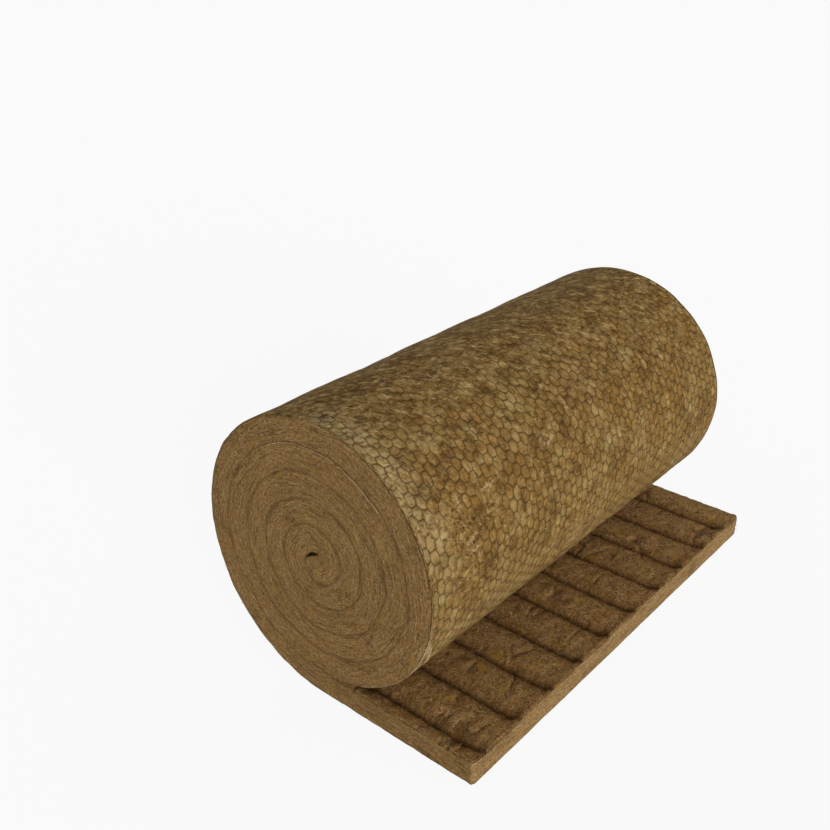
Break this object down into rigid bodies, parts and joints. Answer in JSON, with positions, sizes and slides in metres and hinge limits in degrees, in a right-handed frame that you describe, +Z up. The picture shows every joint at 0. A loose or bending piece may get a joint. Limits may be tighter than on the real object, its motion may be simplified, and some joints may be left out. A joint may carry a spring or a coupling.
{
  "type": "insulation roll",
  "caption": "Roll of stone wool mat faced with hexagonal wire netting, lying on its side with its free end unrolled; wraps pipes, ducts and vessels against heat.",
  "frame": {"origin": "floor level, under the middle of the box round the roll and its unrolled tail", "axes": "+X runs out along the tail to the free end, +Y along the roll, +Z up"},
  "size_m": [0.628, 1, 0.559],
  "materials": {
    "stone_wool": "matte bonded fibre, brown with ochre binder spots",
    "netting_wire": "dull zinc-coated wire, dirtied by the wool"
  },
  "bodies": {
    "root": {"wool_mat": "stone_wool"}
  },
  "joints": []
}
